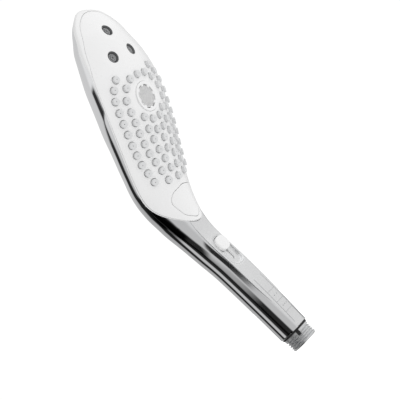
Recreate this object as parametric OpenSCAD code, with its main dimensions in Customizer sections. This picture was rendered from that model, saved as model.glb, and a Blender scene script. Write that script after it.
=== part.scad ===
// Handheld shower head with a curved oval spray face, a mode button and a sliding flow control.
// The handle runs along +Z, the spray face looks towards -Y, and the origin is the centre of the
// sealing end of the hose thread. All sizes are in millimetres.

/* [Handle and head] */
// Length along the curved centre line, from the handle end to the tip of the head
body_len = 270.4; // [270:0.2:271]
// Angle by which the head leans forward of the handle
head_tilt = 27; // [26.5:0.5:27.5]
// Radius of the bend between the handle and the head
bend_r = 120; // [119:1:121]
// Distance along the handle at which the bend starts
bend_start = 76; // [75.5:0.5:76.5]
// Wall thickness of the chromed shell
shell_wall = 2.2; // [1.8:0.1:2.4]

/* [Spray face] */
// Thickness of the white face plate
face_wall = 2.2; // [1.8:0.1:2.4]
// Radius of a silicone nozzle
nub_r = 2.45; // [2.2:0.05:2.5]
// Height of a silicone nozzle above the face
nub_h = 2.2; // [1.6:0.1:2.6]
// Radius of the hole in a silicone nozzle
nub_bore_r = 0.5; // [0.4:0.05:0.7]
// Clearance round each nozzle in the face plate
nub_gap = 0.25; // [0.15:0.05:0.35]
// Radius of the massage jet sleeves
jet_r = 4.4; // [4.2:0.1:4.5]
// Radius of the ring round the centre spray
centre_r = 10.7; // [10.4:0.1:10.9]
// Radius of the mesh screen of the centre spray
screen_r = 8.0; // [7.8:0.1:8.1]

/* [Controls] */
// Travel of the mode button
press_travel = 2.5; // [2:0.1:2.6]
// Gap round the mode button
button_gap = 0.4; // [0.3:0.05:0.45]
// Travel of the flow slider
slide_travel = 12.5; // [10:0.5:12.5]
// Half width of the flow slider's knob
knob_half = 6.0; // [5.6:0.1:6.05]
// Height of the knob's centre above the handle end
knob_z = 78.6; // [78.2:0.1:78.8]

/* [Hose end] */
// Crest radius of the G1/2 hose thread
thread_r = 10.48; // [10.4:0.01:10.5]
// Depth of the thread
thread_depth = 1.16; // [1:0.02:1.2]
// Pitch of the thread
thread_pitch = 1.814; // [1.8:0.002:1.83]
// Length of the threaded part that stands out of the handle
thread_len = 9.9; // [9.5:0.1:10.5]
// Width of the black seal between the thread and the handle
seal_w = 1.4; // [1.2:0.1:1.6]

/* [Hidden] */
$fn = 64;
eps = 0.01;
tail = thread_len + seal_w;
bend_len = bend_r * head_tilt * PI / 180;
head_start = bend_start + bend_len;
s_noz = head_start + 67;

// Outline tables: distance along the centre line, then the size there
front_t = [[0, 11.8], [30, 12.5], [60, 12.3], [80, 11.4], [100, 9.9], [108, 9.6], [120, 10.2],
    [132, 10.8], [142, 10.9], [156, 11.6], [170, 13.3], [184, 14.5], [199.5, 15], [214, 14.4],
    [229, 12.7], [243.5, 9.6], [251, 7.4], [260, 2.6], [266, -0.9], [270.4, -6.5]];
width_t = [[0, 11.8], [28, 12.7], [60, 13], [80, 13.8], [95, 15.4], [110, 19], [122, 23.5],
    [132.5, 27.2], [140, 29.2], [156, 31.8], [170, 33.5], [185, 34.8], [200, 35.5], [214, 34.8],
    [229, 32.4], [243.5, 27.2]];
crown_t = [[0, 11.8], [60, 11.9], [90, 12], [110, 13.2], [122, 15], [132.5, 15.8], [140, 15.4],
    [156, 13.9], [170, 13.1], [185, 12.2], [200, 10.8], [214, 9.7], [229, 8.8], [243.5, 8.2],
    [270.4, 4]];
crown_power_t = [[0, 0.5], [80, 0.52], [105, 0.7], [132, 0.97], [270.4, 0.97]];
back_t = [[0, 11.8], [60, 12.4], [90, 14], [110, 16.5], [132, 17], [150, 16.4], [170, 18],
    [190, 21], [215, 22.3], [240, 18.5], [270.4, 9]];
round_t = [[0, 2], [80, 2.1], [130, 2.4], [270.4, 2.4]];
tip_from = 243.5;
tip_power = 1.7;
lip_t = [[103, 0.6], [222, 0.6], [230, 0.9], [240, 1.5], [254, 2.5], [270.4, 2.6]];
band_t = [[103, 0.45], [134, 0.45], [150, 0.8], [222, 0.8], [232, 1.2], [243, 2.6], [262, 3.2], [270.4, 4.5]];

// Outline of the white front: it starts as a tongue on the neck and reaches the full width
tongue_start = 103.3;
tongue_end = 136;
tongue_power = 2.4;

function clamp(a, lo, hi) = min(max(a, lo), hi);
function rise(t, i) = (t[i + 1][1] - t[i][1]) / (t[i + 1][0] - t[i][0]);
function slope_at(t, i) =
    i == 0 ? rise(t, 0) :
    i == len(t) - 1 ? rise(t, i - 1) :
    rise(t, i - 1) * rise(t, i) <= 0 ? 0 :
    2 * rise(t, i - 1) * rise(t, i) / (rise(t, i - 1) + rise(t, i));
function span_of(t, s, i = 0) = i >= len(t) - 2 || s < t[i + 1][0] ? i : span_of(t, s, i + 1);
// Smooth curve through a table, without overshoot
function curve(t, s) =
    let (i = span_of(t, s), h = t[i + 1][0] - t[i][0], u = clamp((s - t[i][0]) / h, 0, 1))
    t[i][1] * (2 * u ^ 3 - 3 * u ^ 2 + 1) + slope_at(t, i) * h * (u ^ 3 - 2 * u ^ 2 + u)
    + t[i + 1][1] * (3 * u ^ 2 - 2 * u ^ 3) + slope_at(t, i + 1) * h * (u ^ 3 - u ^ 2);

// The centre line: straight handle, circular bend, straight head
function lean(s) = clamp((s - bend_start) / bend_len, 0, 1) * head_tilt;
function line_y(s) = -bend_r * (1 - cos(lean(s))) - max(s - head_start, 0) * sin(lean(s));
function line_z(s) = tail + min(s, bend_start) + bend_r * sin(lean(s))
    + max(s - head_start, 0) * cos(lean(s));
// A point x to the side of the centre line and h in front of it
function place(s, x, h) = [x, line_y(s) - h * cos(lean(s)), line_z(s) - h * sin(lean(s))];

function tip(s, inset = 0) =
    sqrt(max(1 - clamp((s - tip_from) / (body_len - inset - tip_from), 0, 1) ^ tip_power, 0));
function half_w(s, inset = 0) = (curve(width_t, s) - inset) * tip(s, inset);
function crown(s) = curve(crown_t, s) * tip(s);
function back(s) = curve(back_t, s) * tip(s);
function front(s, x = 0) =
    curve(front_t, s)
    - crown(s) * (1 - max(1 - (x / max(half_w(s), eps)) ^ 2, 0) ^ curve(crown_power_t, s));
// Point of the closed outer section at turn t: 0 is the front, 0.25 the side, 0.5 the back
function section_pt(s, t) =
    let (side = t <= 0.5 ? 1 : -1, a = (t <= 0.5 ? t : 1 - t) * 360,
        f = curve(front_t, s), w = half_w(s), d = crown(s),
        e = 2 / curve(round_t, s))
    a <= 90
    ? [side * w * sin(a), f - d * (1 - max(1 - sin(a) ^ 2, 0) ^ curve(crown_power_t, s))]
    : [side * w * abs(sin(a)) ^ e, f - d - back(s) * abs(cos(a)) ^ e];

// The same point, moved in by the wall towards the middle of the section
function wall_pt(s, t) =
    let (p = section_pt(s, t), c = [0, curve(front_t, s) - crown(s)], d = norm(p - c))
    p + (c - p) * min(shell_wall / d, 0.6);

// Half width of the white front at s, and the same drawn in by an inset
function tongue(s, from) =
    sqrt(max(1 - clamp((tongue_end - s) / (tongue_end - from), 0, 1) ^ tongue_power, 0));
function white_w(s, inset = 0) = tongue(s, tongue_start + inset) * half_w(s, inset);
function strip_half(s) = curve([[0, 5.8], [15, 6.6], [45, 8.2], [110, 8.6]], s);
rim_gap = 0.3;
seam_gap = 0.25;
// The cut edge of the shell leans in under the tongue, so the opening is wider there
lean_in = [[0, 0], [tongue_start, 0], [tongue_start + 4, 0.45], [tongue_end, 0.45]];
// How far the trim ring wraps back round the edge
function band_drop(s) = min(curve(band_t, s), 0.5 * back(s));
// Turn at which the shell's front opening ends
function open_turn(s) =
    let (opening = max(strip_half(s), s < tongue_start ? 0 : white_w(s)) + seam_gap + curve(lean_in, s),
        ratio = min(opening / half_w(s), 1),
        side = asin(clamp((band_drop(s) + rim_gap) / back(s), 0, 0.6) ^ (curve(round_t, s) / 2)))
    s < tongue_end - 6 ? asin(ratio) / 360 :
    0.25 + side / 360 * clamp((s - tongue_end + 6) / 6, 0, 1);

function stations(a, b, n) = [for (i = [0:n]) a + (b - a) * i / n];
function ease_out(a, b, n) = [for (i = [0:n]) a + (b - a) * sin(90 * i / n)];
function ease_in(a, b, n) = [for (i = [0:n]) b - (b - a) * cos(90 * i / n)];

// Solid through a ring of [x, h] points at each station
module loft(ss, rings) {
    n = len(rings[0]);
    m = len(ss);
    pts = [for (i = [0:m - 1]) for (p = rings[i]) place(ss[i], p[0], p[1])];
    sides = [for (i = [0:m - 2]) for (j = [0:n - 1]) let (k = (j + 1) % n)
        each [[i * n + j, (i + 1) * n + k, i * n + k], [i * n + j, (i + 1) * n + j, (i + 1) * n + k]]];
    caps = [[for (j = [0:n - 1]) j], [for (j = [n - 1:-1:0]) (m - 1) * n + j]];
    polyhedron(pts, concat(caps, sides), 10);
}

// Curved sheet that follows the front at depths d0 to d1, as wide as half(s), and narrower by taper
// on its back
module sheet(ss, d0, d1, half, cols = 12, taper = 0) {
    rings = [for (s = ss) let (a = max(half(s), 0.25), b = max(a - taper, 0.6 * a)) concat(
        [for (i = [0:cols]) let (x = b * sin(-90 + 180 * i / cols)) [x, front(s, x) - d1(s)]],
        [for (i = [cols:-1:0]) let (x = a * sin(-90 + 180 * i / cols)) [x, front(s, x) - d0(s)]])];
    loft(ss, rings);
}

// Rim that follows the front at depths d0 to d1: half(s) wide outside, t thick, from sa to sb
module rim(sa, sb, half, t, d0, d1, n = 12, m = 6) {
    function path(a, b, trim) = concat(
        [for (i = [0:n]) let (s = a + (b - a) * i / n) [s, half(s) - trim]],
        [for (i = [1:m - 1]) [b, (half(b) - trim) * (1 - 2 * i / m)]],
        [for (i = [n:-1:0]) let (s = a + (b - a) * i / n) [s, trim - half(s)]],
        [for (i = [1:m - 1]) [a, (trim - half(a)) * (1 - 2 * i / m)]]);
    out = path(sa, sb, 0);
    inn = path(sa + t, sb - t, t);
    function under(q, d) = place(q[0], q[1], front(q[0], q[1]) - d(q[0]));
    pts = [for (i = [0:len(out) - 1])
        each [under(out[i], d0), under(out[i], d1), under(inn[i], d1), under(inn[i], d0)]];
    polyhedron(pts, ring_faces(len(out), 4), 10);
}
// Faces of a closed ring of n sections with m points each
function ring_faces(n, m) = [for (i = [0:n - 1]) for (j = [0:m - 1])
    let (k = (j + 1) % m, g = (i + 1) % n)
    each [[i * m + j, g * m + k, i * m + k], [i * m + j, g * m + j, g * m + k]]];

// Frames: the handle's end, the button's axis and the centre of the spray face
module on_handle() translate([0, 0, tail]) children();
button_s = 119;
button_lean = lean(button_s);
module on_button() translate([0, line_y(button_s), line_z(button_s)]) rotate([button_lean, 0, 0])
    rotate([90, 0, 0]) children();
// Placed on the face at u along the head and v across it, with +Z out of the face
module on_face(u, v) {
    s = s_noz + u;
    h = front(s, v);
    du = (front(s + 0.5, v) - front(s - 0.5, v));
    dv = (front(s, v + 0.5) - front(s, v - 0.5));
    translate(place(s, v, h)) rotate([lean(s), 0, 0])
        rotate([atan(du), 0, -atan(dv)]) rotate([90, 0, 0]) children();
}
module tube(r1, r0, h) difference() {
    cylinder(r = r1, h = h);
    translate([0, 0, -1]) cylinder(r = r0, h = h + 2);
}

// Nozzle layout on the face: u along the head, v across it
nubs_outer = [[18.9, 19.7], [13.1, 24.5], [6, 27], [-2, 27.6], [-9.7, 27.5], [-17.5, 27],
    [-25.4, 26.5], [-32.9, 25.4], [-40.4, 24], [-47.6, 21.7], [-55.1, 19.5]];
nubs_second = [[15.4, 8.7], [10.7, 15.4], [3.3, 19.5], [-4.9, 19.6], [-12.5, 19.4],
    [-20.3, 19.2], [-28.2, 18.3], [-35.7, 16.9], [-43, 14.5], [-50.4, 12.1], [-58.4, 9.8]];
nubs_third = [[-11.6, 11.1], [-20.3, 11.2], [-28.3, 10.2], [-36.2, 8.5], [-43.8, 6.1],
    [-51.5, 3.9]];
nubs_fourth = [[-15.4, 4.2], [-23.4, 3.8]];
nubs_middle = [16.3, -30.6, -38.3, -59.2];
nubs = concat(
    [for (p = concat(nubs_outer, nubs_second, nubs_third, nubs_fourth)) for (k = [-1, 1]) [p[0], k * p[1]]],
    [for (u = nubs_middle) [u, 0]]);
jets = [[33.5, -10.8], [33.5, 10.8], [51.5, 0]];

// ---- Shells ----
module rear_shell() color([0.75, 0.76, 0.78]) {
    cuts = 26;
    ss = concat(stations(3, 120, 12), stations(127, 236, 14), ease_out(tip_from, body_len - 0.3, 9));
    rings = [for (s = ss) let (t0 = open_turn(s)) concat(
        [for (i = [0:cuts]) section_pt(s, t0 + (1 - 2 * t0) * i / cuts)],
        [for (i = [cuts:-1:0]) wall_pt(s, t0 + (1 - 2 * t0) * i / cuts)])];
    loft(ss, rings);
}
module end_collar() color([0.78, 0.79, 0.8]) on_handle() rotate_extrude()
    polygon([[9.62, 0], [11.3, 0], [11.8, 0.5], [11.8, 2.98], [9.62, 2.98]]);

module trim_ring() color([0.93, 0.93, 0.93]) {
    n = 36;
    turns = concat([for (i = [0:n - 1]) [i / n, 1]], [for (i = [n:-1:1]) [i / n, -1]]);
    rings = [for (q = turns) let (c = (1 - cos(180 * q[0])) / 2,
        s = tongue_start + (body_len - tongue_start) * c,
        lip = curve(lip_t, s), e = curve(round_t, s), depth = max(back(s), 1.4),
        si = tongue_start + lip + (body_len - 2 * lip - tongue_start) * c,
        x = q[1] * white_w(s), xi = q[1] * white_w(si, lip),
        w = max(half_w(s), 0.5), full = abs(x) / w > 0.985,
        drop = min(curve(band_t, s), 0.5 * depth),
        xb = full ? x * (1 - (drop / depth) ^ e) ^ (1 / e) : x)
        [place(s, x, front(s, x)), place(s, xb, front(s, x) - drop),
            place(si, xi, front(si, xi) - drop), place(si, xi, front(si, xi))]];
    polyhedron([for (r = rings) each r], ring_faces(len(rings), 4), 10);
}

// Rounded triangle, wide towards the head: [x, y, radius] of the circles that it wraps
button_rounds = [[0, 2.6, 10.7], [-7, 5.6, 6.3], [7, 5.6, 6.3], [0, 0.6, 10.8], [0, -6.9, 4.5]];
module button_outline(extra, h) hull() for (c = button_rounds) translate([c[0], c[1], 0])
    cylinder(r = c[2] + extra, h = h, $fn = 48);

module face_plate() color([0.95, 0.95, 0.95]) difference() {
    sheet(concat(ease_in(tongue_start + 0.8, 140, 9), stations(148, 238, 11),
        ease_out(tip_from, body_len - 4, 8)),
        function(s) 0, function(s) face_wall, function(s) white_w(s, curve(lip_t, s) + 0.12), 14,
        face_wall);
    for (p = nubs) on_face(p[0], p[1]) translate([0, 0, -6]) cylinder(r = nub_r + nub_gap, h = 12);
    for (p = jets) on_face(p[0], p[1]) translate([0, 0, -6]) cylinder(r = jet_r + 0.15, h = 12);
    on_face(0, 0) translate([0, 0, -6]) cylinder(r = centre_r + 0.15, h = 12);
    on_button() translate([0, 0, 2]) button_outline(button_gap, 14);
}

// ---- Water way of the head ----
mat_top = face_wall + 0.15;
mat_wall = 1.2;
module nozzle_mat() color([0.72, 0.73, 0.74]) difference() {
    sheet(stations(s_noz - 63.5, s_noz + 24, 12), function(s) mat_top,
        function(s) mat_top + mat_wall, function(s) half_w(s) - 4.5, 10);
    on_face(0, 0) translate([0, 0, -8]) cylinder(r = centre_r + 0.6, h = 12);
}
module nozzle_nubs() color([0.72, 0.73, 0.74]) for (p = nubs) on_face(p[0], p[1]) {
    root = -mat_top - 0.4;
    rotate_extrude() polygon([[nub_bore_r, root], [nub_r, root], [nub_r, nub_h - 0.4],
        [nub_r - 0.35, nub_h], [nub_bore_r, nub_h]]);
}

module manifold_plate() color([0.55, 0.57, 0.6]) difference() {
    sheet(stations(s_noz - 64, s_noz + 56, 14), function(s) mat_top + mat_wall + 0.15,
        function(s) mat_top + mat_wall + 2, function(s) half_w(s) - 4.5, 10);
    on_face(0, 0) translate([0, 0, -12]) cylinder(r = screen_r + 0.2, h = 14);
    for (p = jets) on_face(p[0], p[1]) translate([0, 0, -12]) cylinder(r = jet_r + 0.15, h = 14);
}

plate_back = mat_top + mat_wall + 2;
manifold_in = 5.6;
cover_wall = 1.8;
gasket_back = plate_back + 1;
module manifold_gasket() color([0.12, 0.12, 0.13]) rim(s_noz - 63.5, s_noz + 55.5,
    function(s) half_w(s) - manifold_in, 2, function(s) plate_back + 0.4, function(s) gasket_back);

dish_t = [[130, 12], [236, 12.5], [258, 9.5]];
dish_back = function(s) curve(dish_t, s);
module manifold_wall() color([0.6, 0.62, 0.65]) rim(s_noz - 63.5, s_noz + 55.5,
    function(s) half_w(s) - manifold_in, 2, function(s) gasket_back + 0.3,
    function(s) dish_back(s) - cover_wall - 0.4);
module manifold_cover() color([0.6, 0.62, 0.65]) sheet(stations(s_noz - 63.5, s_noz + 54, 14),
    function(s) dish_back(s) - cover_wall, dish_back, function(s) half_w(s) - manifold_in, 10);

module jet_sleeve(p) color([0.25, 0.26, 0.28]) on_face(p[0], p[1]) translate([0, 0, -5.4])
    rotate_extrude() polygon([[2.6, 0], [jet_r, 0], [jet_r, 5.2], [jet_r - 0.5, 5.5], [3.5, 4.4],
        [3.2, 1.2], [2.6, 1.2]]);
module jet_core(p) color([0.4, 0.41, 0.43]) on_face(p[0], p[1]) translate([0, 0, -4.1])
    difference() {
        rotate_extrude() polygon([[0, 0], [3.1, 0], [3.1, 0.8], [1.9, 2.6], [1.5, 2.6], [0, 2.6]]);
        translate([0, 0, -1]) cylinder(r = 0.8, h = 6);
    }
module jet_sleeve_1() jet_sleeve(jets[0]);
module jet_sleeve_2() jet_sleeve(jets[1]);
module jet_sleeve_3() jet_sleeve(jets[2]);
module jet_core_1() jet_core(jets[0]);
module jet_core_2() jet_core(jets[1]);
module jet_core_3() jet_core(jets[2]);

tabs = 8;
module centre_nozzle_ring() color([0.94, 0.94, 0.94]) on_face(0, 0) {
    translate([0, 0, -3]) tube(centre_r, screen_r + 0.4, 3.1);
    for (i = [0:tabs - 1]) rotate([0, 0, i * 360 / tabs]) translate([screen_r - 1.1, -1.3, -0.9])
        cube([2, 2.6, 0.9]);
}
module centre_nozzle_screen() color([0.6, 0.6, 0.6]) on_face(0, 0) translate([0, 0, -2.4]) difference() {
    cylinder(r = screen_r + 0.1, h = 1);
    for (ring = [[6, 2.4], [12, 4.6], [18, 6.6]]) for (i = [0:ring[0] - 1])
        rotate([0, 0, i * 360 / ring[0]]) translate([ring[1], 0, -1]) cylinder(r = 0.5, h = 3, $fn = 16);
}
module centre_swirl_disc() color([0.5, 0.52, 0.55]) on_face(0, 0) translate([0, 0, -5.6]) difference() {
    cylinder(r = screen_r + 0.1, h = 2.4);
    for (i = [0:5]) rotate([0, 0, i * 60]) translate([4.6, -0.7, -1]) cube([3, 1.4, 6]);
}

// ---- Mode button and diverter ----
button_back = 7.6;
flange_low = 6.0;
guide_top = 1.5;
module mode_button() color([0.95, 0.95, 0.95]) intersection() {
    sheet(stations(button_s - 14, button_s + 17, 10), function(s) 0, function(s) 2.4,
        function(s) 13.8, 12);
    on_button() button_outline(0, 16);
}
plunger_r = 3.2;
module button_plunger() color([0.85, 0.86, 0.88]) on_button() difference() {
    union() {
        translate([0, 0, -1]) cylinder(r = plunger_r, h = button_back - 0.3 + 1);
        translate([0, 0, flange_low]) cylinder(r = 5.2, h = 0.8);
    }
    for (i = [0:5]) rotate([0, 0, i * 60]) translate([1.4, -0.5, -2]) cube([4, 1, 1.8]);
    translate([0, 0, -2]) cylinder(r = 1.2, h = 6);
}
module mode_button_spring() color([0.7, 0.7, 0.72]) on_button() {
    coils = 4;
    wire = 0.35;
    mean_r = 4.1;
    lo = guide_top + wire + 0.05;
    hi = flange_low - wire - 0.05;
    steps = coils * 16;
    sides = 6;
    pts = [for (i = [0:steps]) let (a = i * 360 / 16, z = lo + (hi - lo) * i / steps)
        for (j = [0:sides - 1]) let (b = j * 360 / sides, r = mean_r + wire * cos(b))
        [r * cos(a), r * sin(a), z + wire * sin(b)]];
    faces = [for (i = [0:steps - 1]) for (j = [0:sides - 1]) let (k = (j + 1) % sides)
        each [[i * sides + j, i * sides + k, (i + 1) * sides + k],
            [i * sides + j, (i + 1) * sides + k, (i + 1) * sides + j]]];
    ends = [[for (j = [sides - 1:-1:0]) j], [for (j = [0:sides - 1]) steps * sides + j]];
    polyhedron(pts, concat(ends, faces), 10);
}
guide_clear = 0.06;
module button_guide() color([0.8, 0.81, 0.83]) on_button() difference() {
    translate([0, 0, -0.6]) cylinder(r = 11, h = guide_top + 0.6);
    translate([0, 0, -2]) cylinder(r = plunger_r + guide_clear, h = 6);
}
housing_r = 11;
rotor_r = 8.2;
module diverter_housing() color([0.7, 0.72, 0.75]) difference() {
    on_button() difference() {
        translate([0, 0, -12]) cylinder(r = housing_r, h = 11.4);
        translate([0, 0, -10]) cylinder(r = rotor_r + 0.2, h = 10);
        translate([0, 0, -13]) cylinder(r = 1.56, h = 4);
    }
    feed_line(3.6, 110, 116);
    for (x = [-7, 0, 7]) translate(place(s_noz - 76, x, 1.2)) rotate([head_tilt, 0, 0])
        cylinder(r = 1.8, h = 8);
}
module diverter_seal() color([0.1, 0.1, 0.11]) on_button() translate([0, 0, -9.95]) tube(7.6, 5.4, 1.3);
module diverter_rotor() color([0.9, 0.9, 0.86]) on_button() difference() {
    union() {
        translate([0, 0, -8.55]) cylinder(r = rotor_r, h = 4);
        translate([0, 0, -11.9]) cylinder(r = 1.5, h = 4);
        for (i = [0:5]) rotate([0, 0, i * 60]) translate([1.6, -0.6, -4.6]) cube([1.6, 1.2, 0.8]);
    }
    for (i = [0:2]) rotate([0, 0, 30 + i * 120]) translate([5.2, 0, -10]) cylinder(r = 1.6, h = 7);
}
module mode_ducts() color([0.65, 0.67, 0.7]) difference() {
    for (x = [-7, 0, 7]) translate(place(s_noz - 74, x, 1.2)) rotate([head_tilt, 0, 0])
        tube(2.4, 1.6, 9.95);
    on_button() translate([0, 0, -14]) cylinder(r = housing_r + 0.02, h = 18);
}

// ---- Water line and flow valve in the handle ----
line_back = 1.5;
feed_lean = 6;
module feed_line(r, z0, z1) on_handle() translate([0, line_back, 92]) rotate([-feed_lean, 0, 0])
    translate([0, 0, z0 - 92]) cylinder(r = r, h = z1 - z0);
valve_z = 46;
valve_top = 98;
valve_r = 7.9;
valve_bore_r = 4.0;
tube_r = 5.6;
module inlet_tube() color([0.82, 0.83, 0.85]) on_handle() translate([0, line_back, 13])
    tube(tube_r, 4.1, 40.8);
module tube_orings() color([0.08, 0.08, 0.09]) on_handle() for (z = [20, 50])
    translate([0, line_back, z]) tube(z < 30 ? 7.2 : 6.6, tube_r + 0.02, 1.6);
module valve_body() color([0.75, 0.77, 0.8]) difference() {
    on_handle() difference() {
        translate([0, line_back, valve_z]) cylinder(r = valve_r, h = valve_top - valve_z);
        translate([0, line_back, valve_z - 1]) cylinder(r = tube_r + 0.06, h = 9);
        translate([0, line_back, 50]) cylinder(r = 6.65, h = 1.6);
        translate([0, line_back, valve_z]) cylinder(r = valve_bore_r, h = 46);
        translate([-10, -20, valve_z - 1]) cube([20, 20 - 5.2, 60]);
        translate([-slot_w / 2, -8, 60]) cube([slot_w, 8, 24]);
    }
    feed_line(5.06, 91, 105);
}
module valve_spool() color([0.88, 0.88, 0.84]) on_handle() difference() {
    union() {
        translate([0, line_back, 69]) cylinder(r = valve_bore_r - 0.05, h = 21);
        translate([-1.4, -6.25, knob_z - 1.4]) cube([2.8, 5.5, 2.8]);
    }
    translate([0, line_back, 71]) cylinder(r = 2.4, h = 21);
    for (x = [-1, 1]) translate([0, line_back, 85]) rotate([0, x * 90, 0]) cylinder(r = 1.6, h = 6);
}
module feed_tube() color([0.82, 0.83, 0.85]) difference() {
    feed_line(5, 92.1, 118);
    feed_line(3.6, 91, 119);
    on_button() translate([0, 0, -16]) cylinder(r = housing_r + 0.02, h = 22);
}

// ---- Flow slider ----
tray_floor = 8.9;
tray_half = 6.4;
slot_w = 3.4;
slot_low = knob_z - knob_half - slide_travel - 0.4;
slot_high = knob_z + knob_half + 0.4;
module long_round(half, z0, z1, y0, y1, r) hull() for (x = [-1, 1]) for (z = [z0 + r, z1 - r])
    on_handle() translate([x * (half - r), y1, z]) rotate([90, 0, 0]) cylinder(r = r, h = y1 - y0, $fn = 32);
module slider_tray() color([0.8, 0.8, 0.82]) difference() {
    long_round(tray_half + 0.7, slot_low - 0.7, slot_high + 0.7, -10.4, -tray_floor + 1, 6.2);
    long_round(tray_half, slot_low, slot_high, -14, -tray_floor, 5.6);
    on_handle() translate([-slot_w / 2, -tray_floor - 1, knob_z - 2 - slide_travel])
        cube([slot_w, 4, slide_travel + 4]);
}
strip_drop = 0.9;
strip_crown = 1.3;
strip_wall = 1.4;
strip_bevel = 1.4;
back_crown = 0.9;
// Shallow curved strip let into the front of the handle, from s0 to s1
module strip(s0, s1, n) {
    cols = 8;
    rings = [for (s = stations(s0, s1, n)) let (a = strip_half(s), b = a - strip_bevel,
        top = curve(front_t, s) - strip_drop)
        concat(
            [for (i = [0:cols]) let (x = a * (2 * i / cols - 1)) [x, top - strip_crown * (x / a) ^ 2]],
            [for (i = [cols:-1:0]) let (x = b * (2 * i / cols - 1))
                [x, top - strip_wall - back_crown * (x / a) ^ 2]])];
    loft(stations(s0, s1, n), rings);
}
module handle_inlay() color([0.9, 0.9, 0.9]) difference() {
    strip(3.2, 102.8, 14);
    long_round(tray_half + 0.8, slot_low - 0.8, slot_high + 0.8, -20, 0, 6.3);
}
module slider_knob() color([0.96, 0.96, 0.96]) intersection() {
    long_round(knob_half, knob_z - knob_half, knob_z + knob_half, -14, -tray_floor - 0.3, 4.6);
    on_handle() translate([0, 27, knob_z]) sphere(r = 39.6, $fn = 96);
}
// The carriage is long enough to close the tray's slot from behind over the whole travel
shutter_half = slide_travel + 3;
module slider_carriage() color([0.75, 0.76, 0.78]) on_handle() {
    translate([-4.5, -7.6, knob_z - shutter_half]) cube([9, 1.3, 2 * shutter_half]);
    translate([-1.4, -tray_floor - 0.3, knob_z - 1.4]) cube([2.8, tray_floor + 0.3 - 7.5, 2.8]);
}

// ---- Hose end ----
nipple_bore_r = 7.0;
neck_r = 9.0;
seal_r = 11.0;
key_w = 2;
key_depth = 1.4;
module hose_nipple() color([0.72, 0.72, 0.73]) difference() {
    turns = floor((thread_len - 1.2) / thread_pitch);
    union() {
        rotate_extrude() polygon(concat([[nipple_bore_r, 0], [thread_r - 1.2, 0], [thread_r, 1.2]],
            [for (i = [1:turns - 1]) let (z = 1.2 + i * thread_pitch) each [
                [thread_r, z - 0.45], [thread_r - thread_depth, z - 0.06],
                [thread_r - thread_depth, z + 0.06], [thread_r, z + 0.45]]],
            [[thread_r, thread_len], [neck_r, thread_len], [neck_r, tail + 12], [nipple_bore_r, tail + 12]]));
    }
    for (a = [45, 225]) rotate([0, 0, a]) translate([thread_r - key_depth, -key_w / 2, thread_len - 4])
        cube([4, key_w, 5]);
}
module end_seal() color([0.05, 0.05, 0.05]) translate([0, 0, thread_len + eps])
    tube(seal_r, neck_r + 0.02, seal_w - 2 * eps);
module inlet_strainer() color([0.7, 0.7, 0.7]) difference() {
    translate([0, 0, tail + 6]) cylinder(r = nipple_bore_r - 0.05, h = 1.2);
    for (ring = [[6, 2], [12, 4]]) for (i = [0:ring[0] - 1]) rotate([0, 0, i * 360 / ring[0]])
        translate([ring[1], 0, tail]) cylinder(r = 0.6, h = 12, $fn = 16);
}
module flow_limiter() color([0.2, 0.45, 0.3]) translate([0, 0, tail + 8]) difference() {
    tube(nipple_bore_r - 0.05, 2.2, 3.5);
    for (i = [0:7]) rotate([0, 0, i * 45]) translate([4.8, 0, -1]) cylinder(r = 0.9, h = 6, $fn = 16);
}
module tube_collar() color([0.8, 0.81, 0.83]) on_handle() difference() {
    translate([0, 0, 12.05]) cylinder(r = neck_r, h = 12);
    translate([0, line_back, 12.9]) cylinder(r = tube_r + 0.04, h = 14);
    translate([0, line_back, 19.98]) cylinder(r = 7.22, h = 1.64);
    translate([0, 0, 10]) cylinder(r = 3.6, h = 6);
}

rear_shell();
end_collar();
trim_ring();
face_plate();
nozzle_mat();
nozzle_nubs();
manifold_plate();
manifold_gasket();
manifold_wall();
manifold_cover();
jet_sleeve_1();
jet_sleeve_2();
jet_sleeve_3();
jet_core_1();
jet_core_2();
jet_core_3();
centre_nozzle_ring();
centre_nozzle_screen();
centre_swirl_disc();
mode_button();
button_plunger();
mode_button_spring();
button_guide();
diverter_housing();
diverter_seal();
diverter_rotor();
mode_ducts();
feed_tube();
inlet_tube();
tube_orings();
tube_collar();
valve_body();
valve_spool();
slider_tray();
handle_inlay();
slider_knob();
slider_carriage();
hose_nipple();
end_seal();
inlet_strainer();
flow_limiter();
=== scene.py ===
import math
from functools import lru_cache

import bmesh
import bpy
import numpy as np
from mathutils import Matrix, Vector
from mathutils.geometry import delaunay_2d_cdt


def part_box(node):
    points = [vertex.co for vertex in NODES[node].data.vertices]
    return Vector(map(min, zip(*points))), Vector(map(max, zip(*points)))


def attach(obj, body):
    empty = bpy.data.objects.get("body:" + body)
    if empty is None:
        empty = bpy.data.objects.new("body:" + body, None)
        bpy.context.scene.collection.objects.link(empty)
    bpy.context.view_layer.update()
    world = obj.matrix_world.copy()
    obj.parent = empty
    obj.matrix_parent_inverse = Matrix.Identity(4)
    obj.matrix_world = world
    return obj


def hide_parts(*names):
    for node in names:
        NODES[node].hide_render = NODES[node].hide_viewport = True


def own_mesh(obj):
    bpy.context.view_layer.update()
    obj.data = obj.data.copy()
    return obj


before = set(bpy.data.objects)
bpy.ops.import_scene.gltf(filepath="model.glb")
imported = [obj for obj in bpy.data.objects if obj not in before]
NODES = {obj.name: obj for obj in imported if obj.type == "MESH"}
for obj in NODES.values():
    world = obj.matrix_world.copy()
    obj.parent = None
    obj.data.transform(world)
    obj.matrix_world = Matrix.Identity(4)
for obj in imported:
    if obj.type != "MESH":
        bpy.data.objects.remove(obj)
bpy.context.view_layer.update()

MM = 0.001

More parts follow.
